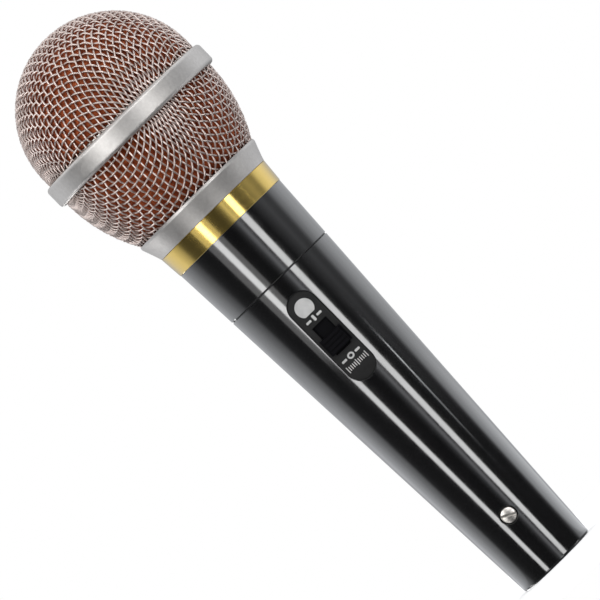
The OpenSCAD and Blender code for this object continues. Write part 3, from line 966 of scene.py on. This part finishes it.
front = Vector((math.sin(CAMERA_AZIMUTH), -math.cos(CAMERA_AZIMUTH), 0))
right = Vector((math.cos(CAMERA_AZIMUTH), math.sin(CAMERA_AZIMUTH), 0))
up_axis = Vector((0, 0, 1))


def make_camera():
    data = bpy.data.cameras.new("camera")
    data.sensor_width = 36.0
    data.lens = 525.6
    data.clip_start, data.clip_end = 0.05, 20.0
    camera = bpy.data.objects.new("camera", data)
    bpy.context.scene.collection.objects.link(camera)
    side = right * math.cos(CAMERA_ROLL) - up_axis * math.sin(CAMERA_ROLL)
    top = up_axis * math.cos(CAMERA_ROLL) + right * math.sin(CAMERA_ROLL)
    spot = right * AIM_SIDE + up_axis * AIM_HEIGHT + front * CAMERA_DISTANCE
    basis = Matrix((side, top, front)).transposed().to_4x4()
    camera.matrix_world = Matrix.Translation(spot) @ basis
    bpy.context.scene.camera = camera


def area_lamp(name, toward, spot, width, height, radiance):
    """A rectangular lamp at a spot, facing against toward, unseen by the camera."""
    data = bpy.data.lights.new(name, "AREA")
    data.shape = "RECTANGLE"
    data.size, data.size_y = width, height
    data.energy = radiance * math.pi * width * height
    lamp = bpy.data.objects.new(name, data)
    bpy.context.scene.collection.objects.link(lamp)
    lamp.location = spot
    lamp.rotation_euler = toward.to_track_quat("Z", "Y").to_euler()
    lamp.visible_camera = False


def strip_light(name, azimuth_0, azimuth_1, strength, low=-0.3, high=0.25, distance=1.6):
    """A tall soft box that fills the azimuths between two angles from the camera, in degrees to the right."""
    middle = math.radians((azimuth_0 + azimuth_1) / 2)
    toward = front * math.cos(middle) + right * math.sin(middle)
    width = 2 * distance * math.tan(math.radians(azimuth_1 - azimuth_0) / 2)
    area_lamp(name, toward, toward * distance + up_axis * (low + high) / 2, width, high - low, strength)


def key_light(name, azimuth, strength, elevation=30, distance=1.4, width=1.2, height=0.7):
    """A soft box above and beside the camera."""
    around, rise = math.radians(azimuth), math.radians(elevation)
    toward = (front * math.cos(around) + right * math.sin(around)) * math.cos(rise) + up_axis * math.sin(rise)
    area_lamp(name, toward, up_axis * AIM_HEIGHT + toward * distance, width, height, strength)


def glow():
    """Light added to whatever lies behind it, as strong as the mesh's own level."""
    made = bpy.data.materials.new("glow")
    made.use_nodes = True
    nodes, links = made.node_tree.nodes, made.node_tree.links
    nodes.remove(nodes["Principled BSDF"])
    level = nodes.new("ShaderNodeAttribute")
    level.attribute_name = "level"
    lit = nodes.new("ShaderNodeEmission")
    clear = nodes.new("ShaderNodeBsdfTransparent")
    both = nodes.new("ShaderNodeAddShader")
    links.new(level.outputs["Color"], lit.inputs["Color"])
    links.new(lit.outputs["Emission"], both.inputs[0])
    links.new(clear.outputs["BSDF"], both.inputs[1])
    links.new(both.outputs["Shader"], nodes["Material Output"].inputs["Surface"])
    return made


GLOW = glow()


def sheet(name, azimuth_0, azimuth_1, fade, rows, columns=33):
    """A soft card bent round the microphone. Each row is a radius, a height and a brightness."""
    mesh = bpy.data.meshes.new(name)
    verts, levels = [], []
    for radius, height, level in rows:
        for azimuth in np.linspace(azimuth_0, azimuth_1, columns):
            toward = front * math.cos(math.radians(azimuth)) + right * math.sin(math.radians(azimuth))
            verts.append(toward * radius + up_axis * height)
            edge = min(azimuth - azimuth_0, azimuth_1 - azimuth)
            levels.append(level * min(1.0, edge / fade))
    faces = [(r * columns + k, r * columns + k + 1, (r + 1) * columns + k + 1, (r + 1) * columns + k)
             for r in range(len(rows) - 1) for k in range(columns - 1)]
    mesh.from_pydata(verts, [], faces)
    colors = mesh.color_attributes.new("level", "FLOAT_COLOR", "POINT")
    for item, level in zip(colors.data, levels):
        item.color = (level * COOL[0], level * COOL[1], level * COOL[2], 1)
    mesh.materials.append(GLOW)
    card = bpy.data.objects.new(name, mesh)
    bpy.context.scene.collection.objects.link(card)
    card.visible_camera = False
    card.visible_shadow = False


COOL = (0.975, 0.995, 1.03)
BACKDROP = [(-180, 0.45), (-165, 0.5), (-150, 0.66), (-138, 0.76), (-122, 0.8), (-112, 0.74), (-104, 0.56),
            (-95, 0.38), (-88, 0.14), (-80, 0.08), (-68, 0.05), (0, 0.03), (5, 0.07), (11, 0.22), (15, 0.7),
            (17.5, 0.9), (21, 0.4), (24, 0.04), (84, 0.04), (92, 0.14), (97, 0.4), (102, 0.74),
            (118, 0.98), (132, 0.9), (145, 0.68), (160, 0.52), (180, 0.45)]
TABLE = [(-180, 0.12), (-115, 0.16), (-85, 0.08), (-60, 0.08), (-10, 0.11), (45, 0.08), (85, 0.22),
         (125, 0.2), (180, 0.12)]


def make_world():
    """White to the camera; to everything else a studio that is white behind the object and dark in front."""
    world = bpy.data.worlds.new("studio")
    bpy.context.scene.world = world
    world.use_nodes = True
    tree = world.node_tree
    nodes, links = tree.nodes, tree.links
    background = nodes["Background"]
    where = nodes.new("ShaderNodeTexCoord")

    def part_along(axis):
        dot = nodes.new("ShaderNodeVectorMath")
        dot.operation = "DOT_PRODUCT"
        dot.inputs[1].default_value = axis
        links.new(where.outputs["Generated"], dot.inputs[0])
        return dot.outputs["Value"]

    turn = nodes.new("ShaderNodeMath")
    turn.operation = "ARCTAN2"
    links.new(part_along(right), turn.inputs[0])
    links.new(part_along(front), turn.inputs[1])
    share = nodes.new("ShaderNodeMapRange")
    share.inputs["From Min"].default_value = -math.pi
    share.inputs["From Max"].default_value = math.pi
    links.new(turn.outputs["Value"], share.inputs["Value"])

    def ring(levels):
        ramp = nodes.new("ShaderNodeValToRGB")
        stops = ramp.color_ramp.elements
        for k, (angle, level) in enumerate(levels):
            spot = (angle + 180) / 360
            stop = stops[k] if k < 2 else stops.new(spot)
            stop.position = spot
            stop.color = (level * COOL[0], level * COOL[1], level * COOL[2], 1)
        links.new(share.outputs["Result"], ramp.inputs["Fac"])
        return ramp.outputs["Color"]

    sunk = nodes.new("ShaderNodeMapRange")
    sunk.inputs["From Min"].default_value = -0.15
    sunk.inputs["From Max"].default_value = -0.28
    links.new(part_along(up_axis), sunk.inputs["Value"])
    around = nodes.new("ShaderNodeMix")
    around.data_type = "RGBA"
    links.new(sunk.outputs["Result"], around.inputs["Factor"])
    links.new(ring(BACKDROP), around.inputs["A"])
    links.new(ring(TABLE), around.inputs["B"])
    overhead = nodes.new("ShaderNodeMapRange")
    overhead.inputs["From Min"].default_value = 0.35
    overhead.inputs["From Max"].default_value = 0.9
    overhead.inputs["To Max"].default_value = 0.5
    links.new(part_along(up_axis), overhead.inputs["Value"])
    total = nodes.new("ShaderNodeMix")
    total.data_type = "RGBA"
    total.blend_type = "ADD"
    total.inputs["Factor"].default_value = 1.0
    links.new(around.outputs["Result"], total.inputs["A"])
    links.new(overhead.outputs["Result"], total.inputs["B"])
    seen = nodes.new("ShaderNodeLightPath")
    choose = nodes.new("ShaderNodeMix")
    choose.data_type = "RGBA"
    choose.inputs["B"].default_value = (1, 1, 1, 1)
    links.new(seen.outputs["Is Camera Ray"], choose.inputs["Factor"])
    links.new(total.outputs["Result"], choose.inputs["A"])
    links.new(choose.outputs["Result"], background.inputs["Color"])


def make_floor():
    """A white floor under the microphone's end, lit so that only the contact shadow shows."""
    size = 0.16
    mesh = bpy.data.meshes.new("floor")
    ring = [(x, y, 0.0) for x, y in circle(0, 0, size, size, 96)]
    mesh.from_pydata(ring, [], [tuple(range(len(ring)))])
    floor = bpy.data.objects.new("floor", mesh)
    bpy.context.scene.collection.objects.link(floor)
    pale = material("floor_pale", (0.93, 0.93, 0.93), 0.0, 0.8, Emission_Color=(1, 1, 1, 1),
                    Emission_Strength=0.3)
    mesh.materials.append(pale)
    floor.visible_glossy = False


make_camera()
make_world()
key_light("key_left", -40, 2.3)
key_light("key_right", 36, 2.5)
strip_light("left_box", -51, -18, 0.7, low=0.045, high=0.3, distance=0.3)
strip_light("left_core", -39.5, -28.5, 4.6)
strip_light("right_strip", 25, 37, 4.6)
sheet("right_card", 48, 98, 26, [(0.3, 0.0, 0.0), (0.3, 0.125, 0.44), (0.3, 0.35, 0.44)])
sheet("thin_card", 60.3, 62.3, 0.4, [(0.3, 0.0, 0.0), (0.3, 0.02, 3.0), (0.3, 0.04, 8.0), (0.3, 0.041, 0.0)])
sheet("table_left", -152, -84, 6, [(0.012, 0.0, 0.0), (0.03, 0.0, 0.32), (0.9, 0.0, 0.3), (1.6, 0.0, 0.0)])
sheet("table_right", 90, 152, 8,
      [(0.012, 0.0, 0.0), (0.03, 0.0, 0.5), (0.17, 0.0, 0.5), (0.6, 0.0, 0.3), (1.2, 0.0, 0.0)])
strip_light("low_left", -43, -31, 2.2, low=-1.7, high=-0.5)
strip_light("low_right", 14, 26, 1.5, low=-1.7, high=-0.5)
strip_light("low_side", 84, 92, 2.2, low=-1.7, high=-0.6)
strip_light("low_rear", -166, -157, 6.5, low=-1.2, high=-0.45)
strip_light("low_rear_side", -122, -114, 4.4, low=-1.2, high=-0.45)
make_floor()
bpy.context.scene.view_settings.view_transform = "Standard"
